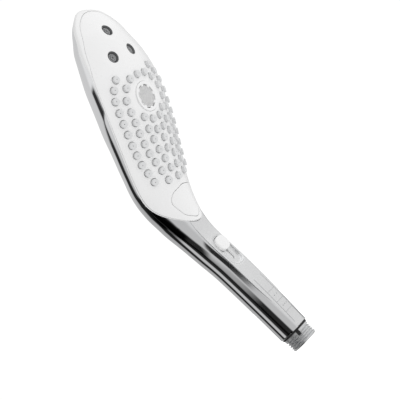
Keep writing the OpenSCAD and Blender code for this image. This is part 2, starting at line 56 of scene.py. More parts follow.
# ---- The object's outer form, in millimetres ----
# The formulas are the CAD's. The width at the tip, the back of the head and the rim's band are nearer to
# the photo than the CAD's tables are. A table holds pairs of (place along the centre line, value).
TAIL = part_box("end_collar")[0][2] / MM
BEND_START = 76.0
BEND_R = 120.0
TILT = math.radians(27)
BEND_LEN = BEND_R * TILT
HEAD_START = BEND_START + BEND_LEN
S_NOZ = HEAD_START + 67
BODY_LEN = 270.4
TIP_FROM = 243.5
TIP_POWER = 1.7
TONGUE_START = 103.3
TONGUE_END = 136
TONGUE_POWER = 2.4
FRONT_T = ((0, 11.8), (30, 12.5), (60, 12.3), (80, 11.4), (100, 9.9), (108, 9.6), (120, 10.2),
           (132, 10.8), (142, 10.9), (156, 11.6), (170, 13.3), (184, 14.5), (199.5, 15), (214, 14.4),
           (229, 12.7), (243.5, 9.6), (251, 7.4), (260, 2.6), (266, -0.9), (270.4, -6.5))
WIDTH_T = ((0, 11.8), (28, 12.7), (60, 13), (80, 13.8), (95, 15.4), (110, 19), (122, 23.5),
           (132.5, 27.2), (140, 29.2), (156, 31.8), (170, 33.5), (185, 34.8), (200, 35.5), (214, 34.8),
           (229, 32.3), (236, 30.45), (243.5, 28), (247.5, 26.9), (252, 26.4), (270.4, 26.4))
CROWN_T = ((0, 11.8), (60, 11.9), (90, 12), (110, 13.2), (122, 15), (132.5, 15.8), (140, 15.4),
           (156, 13.9), (170, 13.1), (185, 12.2), (200, 10.8), (214, 9.7), (229, 8.8), (243.5, 8.2),
           (270.4, 4))
CROWN_POWER_T = ((0, 0.5), (80, 0.52), (105, 0.7), (132, 0.97), (270.4, 0.97))
BACK_T = ((0, 11.8), (60, 12.4), (90, 14), (110, 16.5), (132, 17.6), (150, 18.2), (170, 20.3),
          (190, 22.6), (215, 23), (240, 18.7), (270.4, 9))
ROUND_T = ((0, 2), (80, 2.1), (130, 2.4), (270.4, 2.4))
LIP_T = ((103, 0.35), (222, 0.35), (228, 0.6), (234, 1.25), (240, 1.5), (247, 2.05), (254, 2.5),
         (270.4, 2.6))
BAND_T = ((103, 0.35), (222, 0.35), (228, 0.5), (232, 1), (237, 1.9), (243, 2.6), (256, 2.6),
          (262, 3.2), (270.4, 4.5))
STRIP_T = ((0, 5.8), (15, 6.6), (45, 8.2), (110, 8.6))
STRIP_DROP = 0.9
STRIP_CROWN = 1.3
FACE_WALL = 2.2
BLUR_REACH = 4.5
BLUR_WEIGHTS = ((-1, 0.05), (-0.7, 0.13), (-0.35, 0.2), (0, 0.24), (0.35, 0.2), (0.7, 0.13), (1, 0.05))


def clamp(a, lo=0.0, hi=1.0):
    return min(max(a, lo), hi)


def smooth(a, b, x):
    u = clamp((x - a) / (b - a))
    return u * u * (3 - 2 * u)


@lru_cache(maxsize=200000)
def curve(table, s):
    """Smooth curve through a table, without overshoot."""
    n = len(table)
    i = 0
    while i < n - 2 and s >= table[i + 1][0]:
        i += 1

    def rise(k):
        return (table[k + 1][1] - table[k][1]) / (table[k + 1][0] - table[k][0])

    def slope(k):
        if k == 0:
            return rise(0)
        if k == n - 1:
            return rise(n - 2)
        a, b = rise(k - 1), rise(k)
        return 0 if a * b <= 0 else 2 * a * b / (a + b)

    h = table[i + 1][0] - table[i][0]
    u = clamp((s - table[i][0]) / h)
    return (table[i][1] * (2 * u ** 3 - 3 * u ** 2 + 1) + slope(i) * h * (u ** 3 - 2 * u ** 2 + u)
            + table[i + 1][1] * (3 * u ** 2 - 2 * u ** 3) + slope(i + 1) * h * (u ** 3 - u ** 2))


def lean(s):
    return clamp((s - BEND_START) / BEND_LEN) * TILT


def place(s, x, h):
    """Point x to the side of the centre line and h in front of it, in metres."""
    a = lean(s)
    over = max(s - HEAD_START, 0)
    y = -BEND_R * (1 - math.cos(a)) - over * math.sin(a)
    z = TAIL + min(s, BEND_START) + BEND_R * math.sin(a) + over * math.cos(a)
    return Vector((x, y - h * math.cos(a), z - h * math.sin(a))) * MM


def tip(s, inset=0.0):
    u = clamp((s - TIP_FROM) / (BODY_LEN - inset - TIP_FROM))
    return math.sqrt(max(1 - u ** TIP_POWER, 0))


@lru_cache(maxsize=200000)
def half_w(s, inset=0.0):
    """Half width, averaged over a few millimetres where the sides run into the rounded tip."""
    reach = BLUR_REACH * smooth(226, 240, s) * (1 - smooth(247, 262, s))
    return sum(k * (curve(WIDTH_T, s + reach * d) - inset) * tip(s + reach * d, inset)
               for d, k in BLUR_WEIGHTS)


def crown(s):
    return curve(CROWN_T, s) * tip(s)


def back(s):
    return curve(BACK_T, s) * tip(s)


def front(s, x=0.0):
    w = max(half_w(s), 0.01)
    flat = max(1 - (x / w) ** 2, 0) ** curve(CROWN_POWER_T, s)
    return curve(FRONT_T, s) - crown(s) * (1 - flat)


def section_pt(s, t):
    """Closed outer section at turn t: 0 is the front, 0.25 the side, 0.5 the back."""
    side, u = (1, t) if t <= 0.5 else (-1, 1 - t)
    a = u * 2 * math.pi
    f, w, d = curve(FRONT_T, s), half_w(s), crown(s)
    if u <= 0.25:
        return side * w * math.sin(a), f - d * (1 - (math.cos(a) ** 2) ** curve(CROWN_POWER_T, s))
    e = 2 / curve(ROUND_T, s)
    return side * w * abs(math.sin(a)) ** e, f - d - back(s) * abs(math.cos(a)) ** e


def white_w(s, inset=0.0):
    u = clamp((TONGUE_END - s) / (TONGUE_END - TONGUE_START - inset))
    return math.sqrt(max(1 - u ** TONGUE_POWER, 0)) * half_w(s, inset)


def band_turn(s):
    """Turn at which the white rim's band ends on the side of the head."""
    depth = max(back(s), 0.01)
    part = clamp(curve(BAND_T, s) / depth, 0, 1)
    return 0.25 + math.asin(part ** (curve(ROUND_T, s) / 2)) / (2 * math.pi)


def strip_half(s):
    return curve(STRIP_T, s)


def face_point(u, v):
    return S_NOZ + u, v


def front_frame(s, x):
    """Point of the front surface with its two tangents and its outward normal."""
    d = 0.05
    p = place(s, x, front(s, x))
    along = (place(s + d, x, front(s + d, x)) - place(s - d, x, front(s - d, x))).normalized()
    across = (place(s, x + d, front(s, x + d)) - place(s, x - d, front(s, x - d))).normalized()
    return p, along, across, across.cross(along).normalized()


# ---- Helpers that turn points into pieces ----
def add_mesh(name, verts, faces, material, body, slot_name, *nodes, sharp=35.0):
    mesh = bpy.data.meshes.new(name)
    mesh.from_pydata([tuple(v) for v in verts], [], faces)
    mesh.validate()
    shape = bmesh.new()
    shape.from_mesh(mesh)
    bmesh.ops.recalc_face_normals(shape, faces=shape.faces)
    shape.to_mesh(mesh)
    shape.free()
    mesh.polygons.foreach_set("use_smooth", [True] * len(mesh.polygons))
    mesh.set_sharp_from_angle(angle=math.radians(sharp))
    mesh.materials.append(material)
    obj = bpy.data.objects.new(name, mesh)
    bpy.context.scene.collection.objects.link(obj)
    if nodes:
        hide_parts(*nodes)
    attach(obj, body)
    return obj


def grid_faces(rows, cols, wrap_rows=False, wrap_cols=False, base=0):
    out = []
    for i in range(rows if wrap_rows else rows - 1):
        for j in range(cols if wrap_cols else cols - 1):
            k, g = (i + 1) % rows, (j + 1) % cols
            out.append((base + i * cols + j, base + i * cols + g, base + k * cols + g, base + k * cols + j))
    return out


def weld(verts, faces, gap=2e-6):
    """Joins points that lie on each other and drops the faces that collapse."""
    seen, remap, kept = {}, [], []
    for v in verts:
        key = tuple(round(c / gap) for c in v)
        if key not in seen:
            seen[key] = len(kept)
            kept.append(v)
        remap.append(seen[key])
    out = []
    for f in faces:
        g = []
        for i in f:
            if remap[i] not in g:
                g.append(remap[i])
        if len(g) >= 3:
            out.append(tuple(g))
    return kept, out


def inside_loop(points, loop):
    """Which of the 2-D points lie inside the closed loop."""
    px, py = points[:, 0], points[:, 1]
    hit = np.zeros(len(points), dtype=bool)
    n = len(loop)
    for i in range(n):
        (x0, y0), (x1, y1) = loop[i], loop[(i + 1) % n]
        if y0 == y1:
            continue
        cross = (y0 > py) != (y1 > py)
        hit ^= cross & (px < (x1 - x0) * (py - y0) / (y1 - y0) + x0)
    return hit


def loop_inset(loop, d):
    """The loop moved by d to its left in 2-D: inwards for an anticlockwise outline."""
    n = len(loop)
    out = []
    for i in range(n):
        ax, ay = loop[i - 1]
        bx, by = loop[(i + 1) % n]
        tx, ty = bx - ax, by - ay
        r = math.hypot(tx, ty) or 1
        out.append((loop[i][0] - ty / r * d, loop[i][1] + tx / r * d))
    return out


CHUNK = 400    # boundary points that the spacing test takes at a time


def plate(name, outline, holes, point, normal, step, edge, wall, material, body, slot_name, nodes, extra=()):
    """Sheet over a 2-D outline with holes: point(s, x) is its front, and each loop has a round edge.

    outline and the loops of holes run anticlockwise; a hole is (loop, axis), where axis None means the
    surface's own normal.
    """
    loops = [(outline, None, 1)] + [(loop, axis, -1) for loop, axis in holes]
    flat, edges, rings = [], [], []
    for loop, axis, way in loops:
        moved = loop_inset(loop, way * edge)
        start = len(flat)
        flat += moved
        edges += [(start + i, start + (i + 1) % len(loop)) for i in range(len(loop))]
        rings.append((start, len(loop)))
    lo = np.min(np.array(outline), axis=0)
    hi = np.max(np.array(outline), axis=0)
    grid = []
    for i in range(int((hi[0] - lo[0]) / step) + 2):
        for j in range(-int(hi[1] / step) - 1, int(hi[1] / step) + 2):
            grid.append((lo[0] + i * step, (j + 0.5 * (i % 2)) * step))
    grid = np.array(grid + list(extra))
    keep = inside_loop(grid, [flat[i] for i in range(rings[0][1])])
    boundary = np.array(flat)
    for start, n in rings[1:]:
        keep &= ~inside_loop(grid, flat[start:start + n])
    grid = grid[keep]
    near = np.ones(len(grid), dtype=bool)
    for chunk in range(0, len(boundary), CHUNK):
        b = boundary[chunk:chunk + CHUNK]
        d = np.hypot(grid[:, None, 0] - b[None, :, 0], grid[:, None, 1] - b[None, :, 1]).min(axis=1)
        near &= d > 0.45 * step
    grid = grid[near]
    pts = flat + [tuple(p) for p in grid]
    out, _, tris, *_ = delaunay_2d_cdt([Vector(p) for p in pts], edges, [], 0, 1e-7)
    if len(out) != len(pts):
        raise RuntimeError(name + ": the outline's points fell together")
    order = [(v.x, v.y) for v in out]
    centre = np.array([[sum(order[i][c] for i in t) / 3 for c in (0, 1)] for t in tris])
    good = inside_loop(centre, [order[i] for i in range(rings[0][1])])
    for start, n in rings[1:]:
        good &= ~inside_loop(centre, [order[i] for i in range(start, start + n)])
    tris = [t for t, g in zip(tris, good) if g]
    fronts = [point(*order[k]) for k in range(len(out))]
    normals = [normal(*order[k]) for k in range(len(out))]
    facing = sum((fronts[t[1]] - fronts[t[0]]).cross(fronts[t[2]] - fronts[t[0]]).dot(normals[t[0]])
                 for t in tris[:40])
    if facing < 0:
        tris = [tuple(reversed(t)) for t in tris]
    verts = list(fronts)
    faces = [tuple(t) for t in tris]
    base = len(verts)
    verts += [p - n * wall * MM for p, n in zip(fronts, normals)]
    faces += [tuple(base + i for i in reversed(t)) for t in tris]
    steps = 3
    for (start, n), (loop, axis, way) in zip(rings, loops):
        rows = [list(range(start, start + n))]
        for k in range(1, steps + 1):
            a = math.pi / 2 * k / steps
            d, drop = edge * (1 - math.sin(a)), edge * (1 - math.cos(a))
            row = []
            for i, (s, x) in enumerate(loop_inset(loop, way * d)):
                row.append(len(verts))
                verts.append(point(s, x) - (axis or normal(s, x)) * drop * MM)
            rows.append(row)
        row = []
        for s, x in loop:
            row.append(len(verts))
            verts.append(point(s, x) - (axis or normal(s, x)) * (wall - 0.1) * MM)
        rows.append(row)
        rows.append([base + i for i in range(start, start + n)])
        for upper, lower in zip(rows, rows[1:]):
            for i in range(n):
                j = (i + 1) % n
                quad = (upper[i], lower[i], lower[j], upper[j])
                faces.append(quad if way > 0 else tuple(reversed(quad)))
    return add_mesh(name, verts, faces, material, body, slot_name, *nodes)


def turned(profile, origin, axis, side, segments=48):
    """Points and faces of a profile of (radius, height) in mm turned about an axis."""
    third = axis.cross(side).normalized()
    verts = []
    for i in range(segments):
        a = 2 * math.pi * i / segments
        for r, h in profile:
            verts.append(origin + (side * math.cos(a) + third * math.sin(a)) * r * MM + axis * h * MM)
    return verts, [tuple(reversed(f)) for f in grid_faces(segments, len(profile), wrap_rows=True)]


def joined(parts):
    verts, faces = [], []
    for v, f in parts:
        base = len(verts)
        verts += v
        faces += [tuple(base + i for i in g) for g in f]
    return weld(verts, faces)


def rounded(points, radius, steps=3):
    """A polyline of (r, h) with each inner corner cut by a small arc."""
    out = [points[0]]
    for a, b, c in zip(points, points[1:], points[2:]):
        ab, cb = Vector(a) - Vector(b), Vector(c) - Vector(b)
        r = min(radius, ab.length * 0.45, cb.length * 0.45)
        if r < 1e-4:
            out.append(b)
            continue
        p, q = Vector(b) + ab.normalized() * r, Vector(b) + cb.normalized() * r
        for k in range(steps + 1):
            u = k / steps
            out.append(tuple(p * (1 - u) ** 2 + Vector(b) * 2 * u * (1 - u) + q * u * u))
    return out + [points[-1]]


# ---- Materials ----
def principled(name, base, rough, metallic=0.0, **sockets):
    mat = bpy.data.materials.new(name)
    mat.use_nodes = True
    tree = mat.node_tree
    shader = tree.nodes["Principled BSDF"]
    shader.inputs["Base Color"].default_value = (*base, 1)
    shader.inputs["Roughness"].default_value = rough
    shader.inputs["Metallic"].default_value = metallic
    for key, value in sockets.items():
        shader.inputs[key.replace("_", " ")].default_value = value
    return mat, tree, shader


def noise(tree, scale, detail=3.0, stretch=None, rough=0.5):
    coord = tree.nodes.new("ShaderNodeTexCoord")
    tex = tree.nodes.new("ShaderNodeTexNoise")
    tex.inputs["Scale"].default_value = scale
    tex.inputs["Detail"].default_value = detail
    tex.inputs["Roughness"].default_value = rough
    source = coord.outputs["Object"]
    if stretch:
        mapping = tree.nodes.new("ShaderNodeMapping")
        mapping.inputs["Scale"].default_value = stretch
        tree.links.new(source, mapping.inputs["Vector"])
        source = mapping.outputs["Vector"]
    tree.links.new(source, tex.inputs["Vector"])
    return tex.outputs["Fac"]


def ramp(tree, factor, lo, hi, start=0.35, end=0.65):
    node = tree.nodes.new("ShaderNodeValToRGB")
    node.color_ramp.elements[0].position = start
    node.color_ramp.elements[1].position = end
    node.color_ramp.elements[0].color = (*lo, 1)
    node.color_ramp.elements[1].color = (*hi, 1)
    tree.links.new(factor, node.inputs["Fac"])
    return node.outputs["Color"]


def vary(tree, shader, base, amount, scale):
    lo = tuple(max(c - amount, 0) for c in base)
    hi = tuple(min(c + amount, 1) for c in base)
    tree.links.new(ramp(tree, noise(tree, scale), lo, hi), shader.inputs["Base Color"])


def vary_rough(tree, shader, lo, hi, scale, stretch=None):
    node = tree.nodes.new("ShaderNodeMapRange")
    node.inputs["From Min"].default_value = 0.3
    node.inputs["From Max"].default_value = 0.7
    node.inputs["To Min"].default_value = lo
    node.inputs["To Max"].default_value = hi
    tree.links.new(noise(tree, scale, 4, stretch), node.inputs["Value"])
    tree.links.new(node.outputs["Result"], shader.inputs["Roughness"])


def bump(tree, shader, scale, strength, distance, stretch=None, detail=3.0):
    node = tree.nodes.new("ShaderNodeBump")
    node.inputs["Strength"].default_value = strength
    node.inputs["Distance"].default_value = distance
    tree.links.new(noise(tree, scale, detail, stretch), node.inputs["Height"])
    tree.links.new(node.outputs["Normal"], shader.inputs["Normal"])


def finish_of(name, base, rough, metallic=0.0, tint=0.01, tint_scale=60, rough_to=None, rough_scale=300,
              bump_scale=1500, bump_by=0.1, bump_depth=2e-5, stretch=None, **sockets):
    """A finish whose colour, gloss and fine relief all vary a little, as the moulded or plated part's do."""
    mat, tree, shader = principled(name, base, rough, metallic, **sockets)
    vary(tree, shader, base, tint, tint_scale)
    vary_rough(tree, shader, rough, rough_to or rough * 1.3, rough_scale, stretch)
    bump(tree, shader, bump_scale, bump_by, bump_depth, stretch)
    return mat


chrome = finish_of("polished_chrome", (0.86, 0.865, 0.875), 0.035, 1.0, tint=0.006, rough_to=0.06,
                   rough_scale=90, bump_scale=60, bump_by=0.03, bump_depth=2e-5)
white_plastic = finish_of("white_abs", (0.86, 0.86, 0.862), 0.26, tint=0.006, rough_to=0.34,
                          bump_scale=2400, bump_by=0.12, bump_depth=1.5e-5, Coat_Weight=0.15)
silicone = finish_of("grey_silicone", (0.70, 0.705, 0.71), 0.55, tint=0.008, rough_to=0.66, bump_scale=900,
                     bump_by=0.12, bump_depth=1e-5, Sheen_Weight=0.05)
grey_plastic = finish_of("grey_plastic", (0.45, 0.46, 0.47), 0.4, bump_by=0.2)
rubber = finish_of("black_rubber", (0.016, 0.016, 0.017), 0.55, tint=0.006, rough_to=0.75, bump_by=0.3,
                   bump_depth=4e-5)
jet_dark = finish_of("smoked_plastic", (0.105, 0.107, 0.11), 0.22, tint=0.01, rough_to=0.36)
jet_grey = finish_of("smoked_plastic_light", (0.36, 0.365, 0.37), 0.3, tint=0.015, rough_to=0.42)
mesh_metal = finish_of("woven_steel", (0.86, 0.86, 0.86), 0.45, 0.25, tint=0.02, rough_to=0.58)
spring_steel = finish_of("coil_steel", (0.6, 0.6, 0.61), 0.25, 1.0, bump_scale=900)
valve_plastic = finish_of("valve_acetal", (0.80, 0.79, 0.74), 0.42, tint=0.015)
satin_metal = finish_of("satin_plating", (0.74, 0.745, 0.755), 0.2, 1.0, rough_to=0.3)
inlay_satin = finish_of("satin_inlay", (0.88, 0.885, 0.89), 0.2, 0.85, tint=0.008, rough_to=0.27,
                        rough_scale=220, bump_scale=900, bump_by=0.05, bump_depth=1.5e-5)
thread_metal = finish_of("machined_brass_plated", (0.80, 0.805, 0.81), 0.3, 1.0, tint=0.02, rough_to=0.42,
                         rough_scale=500, bump_scale=900, bump_by=0.12, bump_depth=2e-5)
limiter_plastic = finish_of("limiter_green", (0.12, 0.30, 0.19), 0.4, tint=0.015)
mark_paint = finish_of("mark_grey", (0.30, 0.30, 0.31), 0.45, tint=0.01)
SLOT_MATERIAL = {
    "chrome": chrome, "white_plastic": white_plastic, "silicone": silicone, "inner_plastic": grey_plastic,
    "seal_rubber": rubber, "jet_plastic": jet_dark, "mesh_metal": mesh_metal, "spring_steel": spring_steel,
    "valve_plastic": valve_plastic, "satin_metal": satin_metal, "inlay_satin": inlay_satin,
    "thread_metal": thread_metal, "limiter_plastic": limiter_plastic,
}

# ---- Camera ----
EYE = Vector((-0.5474, -0.4494, 0.0422))
HEADING, RISE, ROLL = math.radians(37.84), math.radians(6.465), math.radians(-45.63)
forward = Vector((math.cos(RISE) * math.cos(HEADING), math.cos(RISE) * math.sin(HEADING), math.sin(RISE)))
level = forward.cross(Vector((0, 0, 1))).normalized()
upright = level.cross(forward)
right = level * math.cos(ROLL) + upright * math.sin(ROLL)
up = upright * math.cos(ROLL) - level * math.sin(ROLL)
camera_data = bpy.data.cameras.new("camera")
camera_data.lens = 90.1
camera_data.sensor_width = 36
camera_data.clip_start = 0.01
camera = bpy.data.objects.new("camera", camera_data)
bpy.context.scene.collection.objects.link(camera)
rotation = np.array([right, up, -forward]).T
matrix = Matrix([list(r) for r in rotation]).to_4x4()
matrix.translation = EYE
camera.matrix_world = matrix
bpy.context.scene.camera = camera

# ---- Chrome shell ----
def turn_of_front(s, x):
    return math.asin(clamp(x / max(half_w(s), 0.01))) / (2 * math.pi)


SHELL_GAP = 0.12
SHELL_WALL = 2.0
END_ROUND = 0.6
END_R = curve(WIDTH_T, 0)


def opening_turn(s):
    wide = max(strip_half(s), 0 if s < TONGUE_START else white_w(s)) + SHELL_GAP
    low = turn_of_front(s, wide)
    high = band_turn(s)
    return low + (high - low) * smooth(TONGUE_END - 7, TONGUE_END, s) if s > TONGUE_END - 7 else low


def tip_stations(a, b, n):
    return [a + (b - a) * math.sin(math.pi / 2 * i / n) for i in range(1, n + 1)]


def even(a, b, n):
    return [a + (b - a) * i / n for i in range(n + 1)]


def shell_wall(p, s, wall):
    x, h = p
    mid = curve(FRONT_T, s) - crown(s)
    d = math.hypot(x, h - mid)
    k = min(wall / max(d, 0.01), 0.6)
    return x * (1 - k), h + (mid - h) * k


COLS = 120
BAND_ALL = next(s for s in (BODY_LEN - 0.02 * i for i in range(1000)) if back(s) > curve(BAND_T, s) + 0.02)
shell_stations = [0.0, 0.1, 0.3, 0.6] + even(1.2, 243, 200) + tip_stations(243, BAND_ALL, 36)
verts, faces = [], []
ring = 2 * (COLS + 1)
for n, s in enumerate(shell_stations):
    t0 = opening_turn(s)
    end_in = 0.5 * (1 - math.sqrt(max(1 - (1 - min(s, END_ROUND) / END_ROUND) ** 2, 0)))
    outer = [section_pt(s, t0 + (1 - 2 * t0) * i / COLS) for i in range(COLS + 1)]
    if end_in > 0:
        k = 1 - end_in / END_R
        outer = [(x * k, h * k) for x, h in outer]
    inner = [shell_wall(p, s, SHELL_WALL - end_in) for p in reversed(outer)]
    verts += [place(s, x, h) for x, h in outer + inner]
faces = [tuple(reversed(f)) for f in grid_faces(len(shell_stations), ring, wrap_cols=True)]
for k in range(COLS):
    faces.append((k, k + 1, ring - 2 - k, ring - 1 - k))
    e = (len(shell_stations) - 1) * ring
    faces.append((e + k + 1, e + k, e + ring - 1 - k, e + ring - 2 - k))
verts, faces = weld(verts, faces)
add_mesh("chrome_shell", verts, faces, chrome, "handset", "chrome", "rear_shell", "end_collar")

# ---- White rim ----
RIM_ROWS = 240
rim_rows = []
for i in range(RIM_ROWS + 1):
    q = i / RIM_ROWS
    c = (1 - math.cos(math.pi * q)) / 2
    s = TONGUE_START + (BODY_LEN - TONGUE_START) * c
    lip = curve(LIP_T, s)
    si = TONGUE_START + lip + (BODY_LEN - 2 * lip - TONGUE_START) * c
    x, xi = white_w(s), white_w(si, lip)
    full = smooth(TONGUE_END - 7, TONGUE_END - 1, s)
    path = []
    for k in range(7):
        u = (k / 6) ** 0.7
        ss, xx = si + (s - si) * u, xi + (x - xi) * u
        path.append(place(ss, min(xx, half_w(ss)) if ss < BODY_LEN else xx, front(ss, xx)))
    tb = band_turn(s)
    for k in range(1, 9):
        u = k / 8
        drop = curve(BAND_T, s) * u
        side = place(s, *section_pt(s, 0.25 + (tb - 0.25) * u))
        down = place(s, x, front(s, x) - drop)
        path.append(down.lerp(side, full))
    # the corner between the front and the side is softened
    soft = min(1.1, lip * 0.9 + 0.25)
    for _ in range(3):
        moved = list(path)
        for k in range(1, len(path) - 1):
            near = (path[k] - path[6]).length / MM
            if near < soft * 1.6:
                w = 0.5 * (1 - near / (soft * 1.6))
                moved[k] = path[k] * (1 - w) + (path[k - 1] + path[k + 1]) * 0.5 * w
        path = moved
    if i in (0, RIM_ROWS):
        path = [Vector((0, p.y, p.z)) for p in path]
    rim_rows.append(path)
verts, faces = [], []
loop_pts = []
for sgn in (1, -1):
    rows = rim_rows if sgn > 0 else rim_rows[::-1]
    for n, path in enumerate(rows):
        q = n if sgn > 0 else RIM_ROWS - n
        c = (1 - math.cos(math.pi * q / RIM_ROWS)) / 2
        s = TONGUE_START + (BODY_LEN - TONGUE_START) * c
        ring_pts = [Vector((p.x * sgn, p.y, p.z)) for p in path]
        drop = place(s, 0, 0) - place(s, 0, 1)
        first, last = ring_pts[0], ring_pts[-1]
        wall_in = first + drop * 1.6
        centre = place(s, 0, curve(FRONT_T, s) - crown(s) - 0.5)
        last_in = last + (centre - last) * min(1.5 * MM / max((centre - last).length, 1e-6), 0.5)
        ring_pts = [wall_in, first + drop * 0.08] + ring_pts + [last_in]
        loop_pts.append(ring_pts)
m = len(loop_pts[0])
verts = [p for r in loop_pts for p in r]
faces = grid_faces(len(loop_pts), m, wrap_rows=True, wrap_cols=True)
verts, faces = weld(verts, faces)
faces = [g for g in faces if any(abs(verts[i].x) > 1e-7 for i in g)]
add_mesh("white_rim", verts, faces, white_plastic, "handset", "white_plastic", "trim_ring")

# ---- Face plate ----
NUB_R, NUB_H, NUB_BORE = 2.45, 2.2, 0.3
NUB_GAP = 0.34
JET_R, CENTRE_R, SCREEN_R = 4.4, 10.7, 8.0
NUB_ROWS = (
    ((18.9, 19.7), (13.1, 24.5), (6, 27), (-2, 27.6), (-9.7, 27.5), (-17.5, 27), (-25.4, 26.5),
     (-32.9, 25.4), (-40.4, 24), (-47.6, 21.7), (-55.1, 19.5)),
    ((15.4, 8.7), (10.7, 15.4), (3.3, 19.5), (-4.9, 19.6), (-12.5, 19.4), (-20.3, 19.2), (-28.2, 18.3),
     (-35.7, 16.9), (-43, 14.5), (-50.4, 12.1), (-58.4, 9.8)),
    ((-11.6, 11.1), (-20.3, 11.2), (-28.3, 10.2), (-36.2, 8.5), (-43.8, 6.1), (-51.5, 3.9)),
    ((-15.4, 4.2), (-23.4, 3.8)),
)
NUBS = [(u, k * v) for row in NUB_ROWS for u, v in row for k in (-1, 1)]
NUBS += [(u, 0) for u in (16.3, -30.6, -38.3, -59.2)]
JETS = ((33.5, -10.8), (33.5, 10.8), (51.5, 0))
JET_SINK, DISH_DEPTH, DISH_IN, DISH_OUT = 0.25, 0.33, 4.8, 8.4
BUTTON_S = 119.0


def round_hole(u, v, r, n):
    """A circle of radius r round the local normal, as a loop in (s, x), with its axis."""
    s, x = face_point(u, v)
    _, along, across, normal = front_frame(s, x)
    d = 0.05
    rate_s = (place(s + d, x, front(s + d, x)) - place(s - d, x, front(s - d, x))).length / (2 * d * MM)
    rate_x = (place(s, x + d, front(s, x + d)) - place(s, x - d, front(s, x - d))).length / (2 * d * MM)
    skew = along.dot(across)
    loop = []
    for i in range(n):
        a = 2 * math.pi * i / n
        cu, cv = r * math.cos(a), r * math.sin(a)
        cv2 = cv / math.sqrt(max(1 - skew * skew, 0.2))
        loop.append((s + (cu - skew * cv2) / rate_s, x + cv2 / rate_x))
    return loop, normal


def hull_outline(circles, grow=0.0):
    """Outline round three circles, anticlockwise, as (x, y)."""
    pts = []
    for cx, cy, r in circles:
        for i in range(96):
            a = 2 * math.pi * i / 96
            pts.append((cx + (r + grow) * math.cos(a), cy + (r + grow) * math.sin(a)))
    pts = sorted(set((round(x, 6), round(y, 6)) for x, y in pts))

    def half(seq):
        out = []
        for p in seq:
            while len(out) > 1 and ((out[-1][0] - out[-2][0]) * (p[1] - out[-2][1])
                                    - (out[-1][1] - out[-2][1]) * (p[0] - out[-2][0])) <= 0:
                out.pop()
            out.append(p)
        return out[:-1]
    return resample(half(pts) + half(pts[::-1]), 1.0)


def resample(loop, step):
    """The closed loop again with points an even step apart."""
    total, lengths = 0.0, []
    for i in range(len(loop)):
        (ax, ay), (bx, by) = loop[i], loop[(i + 1) % len(loop)]
        lengths.append(math.hypot(bx - ax, by - ay))
        total += lengths[-1]
    n = max(int(round(total / step)), 8)
    out, i, done = [], 0, 0.0
    for k in range(n):
        want = total * k / n
        while done + lengths[i] < want:
            done += lengths[i]
            i += 1
        u = (want - done) / lengths[i]
        (ax, ay), (bx, by) = loop[i], loop[(i + 1) % len(loop)]
        out.append((ax + (bx - ax) * u, ay + (by - ay) * u))
    return out


BUTTON_CIRCLES = ((0, 2.6, 10.7), (-7, 5.6, 6.3), (7, 5.6, 6.3), (0, 0.6, 10.8), (0, -6.9, 4.5))
BUTTON_GAP, BUTTON_PROUD, BUTTON_EDGE, BUTTON_WALL = 0.3, 0.15, 0.35, 2.4


def button_loop(grow):
    """The button's outline as a loop in (s, x)."""
    out = []
    base = place(BUTTON_S, 0, 0)
    along = (place(BUTTON_S + 0.5, 0, 0) - place(BUTTON_S - 0.5, 0, 0)).normalized()
    for x, y in hull_outline(BUTTON_CIRCLES, grow):
        s = BUTTON_S + y
        for _ in range(12):
            p = place(s, x, front(s, x))
            miss = (p - base).dot(along) / MM - y
            s -= miss * 0.8
        out.append((s, x))
    return out


def ccw(loop):
    area = sum(a[0] * b[1] - b[0] * a[1] for a, b in zip(loop, loop[1:] + loop[:1]))
    return loop if area > 0 else loop[::-1]


def face_outline(step):
    side = []
    n = 260
    for i in range(n + 1):
        c = (1 - math.cos(math.pi * i / n)) / 2
        s0 = TONGUE_START + (BODY_LEN - TONGUE_START) * c
        lip = curve(LIP_T, s0) + 0.1
        s = TONGUE_START + lip + (BODY_LEN - 2 * lip - TONGUE_START) * c
        side.append((s, white_w(s, lip)))
    loop = side + [(s, -x) for s, x in side[-2:0:-1]]
    return ccw(resample(loop, step))


def dish(s, x):
    """Shallow dish round each jet."""
    out = 0.0
    for u, v in JETS:
        js, jx = face_point(u, v)
        d = math.hypot(s - js, x - jx)
        out += DISH_DEPTH * (1 - smooth(DISH_IN, DISH_OUT, d))
    return out


def face_front(s, x):
    return place(s, x, front(s, x) - dish(s, x))


@lru_cache(maxsize=100000)
def face_normal(s, x):
    return front_frame(s, x)[3]


holes = [round_hole(u, v, NUB_R + NUB_GAP, 22) for u, v in NUBS]
holes += [round_hole(u, v, JET_R - 0.1, 36) for u, v in JETS]
holes.append(round_hole(0, 0, CENTRE_R + 0.12, 60))
holes = [(ccw(loop), axis) for loop, axis in holes]
button_axis = (place(BUTTON_S, 0, 1) - place(BUTTON_S, 0, 0)).normalized()
holes.append((ccw(button_loop(BUTTON_GAP)), button_axis))
extra = []
for u, v in JETS:
    js, jx = face_point(u, v)
    for r, n in ((5.4, 30), (6.2, 32), (7.0, 36), (7.8, 40), (8.6, 44), (9.4, 48)):
        extra += [(js + r * math.cos(2 * math.pi * (i + 0.5 * (r > 6.5)) / n),
                   jx + r * math.sin(2 * math.pi * (i + 0.5 * (r > 6.5)) / n)) for i in range(n)]
plate("face_plate_front", face_outline(1.1), holes, face_front, face_normal, 1.6, 0.14, FACE_WALL - 0.1,
             white_plastic, "handset", "white_plastic", ("face_plate",), extra)

